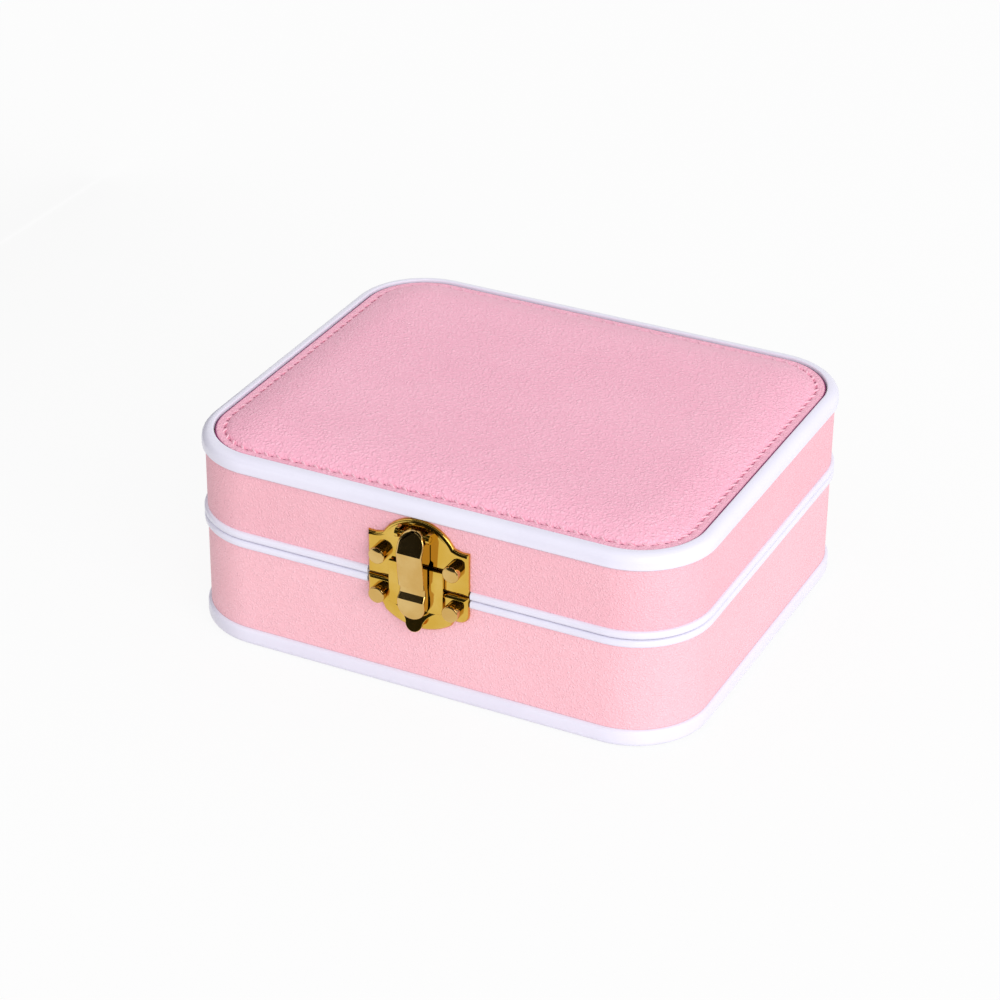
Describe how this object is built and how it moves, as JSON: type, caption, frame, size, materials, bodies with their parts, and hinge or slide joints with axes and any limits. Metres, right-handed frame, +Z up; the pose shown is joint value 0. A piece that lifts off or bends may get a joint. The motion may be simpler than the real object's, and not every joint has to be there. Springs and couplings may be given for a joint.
{
  "type": "jewellery case",
  "caption": "Small leather-covered jewellery case with white edging, a padded hinged lid with a mirror, a hasp latch and a lined tray for rings and trinkets.",
  "frame": {"origin": "middle of the underside, on the surface that the case stands on", "axes": "+X along the long side, +Y from the latch to the hinges, +Z up"},
  "size_m": [0.1418, 0.129, 0.0572],
  "materials": {
    "pink_leather": "fine pebbled grain, satin",
    "white_trim": "smooth satin edging",
    "board": "plain fibreboard, hidden",
    "velvet": "short velvet pile",
    "foam": "plain foam sheet, hidden",
    "gold": "polished gold plating",
    "mirror_glass": "silvered glass"
  },
  "bodies": {
    "base": {"base_wall_board": "board", "base_wall_leather": "pink_leather", "base_bottom_leather": "pink_leather", "base_floor_board": "board", "base_floor_lining": "velvet", "base_wall_lining": "velvet", "base_bottom_trim": "white_trim", "base_rim_trim": "white_trim", "ring_roll_1": "velvet", "ring_roll_2": "velvet", "ring_roll_3": "velvet", "ring_roll_4": "velvet", "ring_roll_5": "velvet", "ring_roll_6": "velvet", "ring_roll_7": "velvet", "long_divider": "velvet", "cross_divider": "velvet", "short_divider": "velvet", "latch_lower_plate": "gold", "latch_catch": "gold", "latch_lower_nails": "gold", "hinge_right_base_leaf": "gold", "hinge_left_base_leaf": "gold", "hinge_right_pin": "gold", "hinge_left_pin": "gold", "hinge_base_nails": "gold"},
    "lid": {"lid_wall_board": "board", "lid_wall_leather": "pink_leather", "lid_rim_trim": "white_trim", "lid_top_trim": "white_trim", "lid_top_board": "board", "lid_wall_lining": "velvet", "lid_ceiling_lining": "velvet", "lid_top_foam": "foam", "lid_top_cover": "pink_leather", "mirror_surround": "velvet", "mirror": "mirror_glass", "latch_upper_plate": "gold", "latch_pin": "gold", "latch_upper_nails": "gold", "hinge_right_lid_leaf": "gold", "hinge_left_lid_leaf": "gold", "hinge_lid_nails": "gold"},
    "hasp": {"latch_tongue": "gold"}
  },
  "joints": [
    {"name": "lid_hinge", "type": "hinge", "parent": "base", "child": "lid", "pos_m": [0, 0.06085, 0.0311], "axis": [-1, 0, 0], "range_deg": [0, 100]},
    {"name": "hasp_swing", "type": "hinge", "parent": "lid", "child": "hasp", "pos_m": [0, -0.06225, 0.0473], "axis": [-1, 0, 0], "range_deg": [0, 115]}
  ]
}
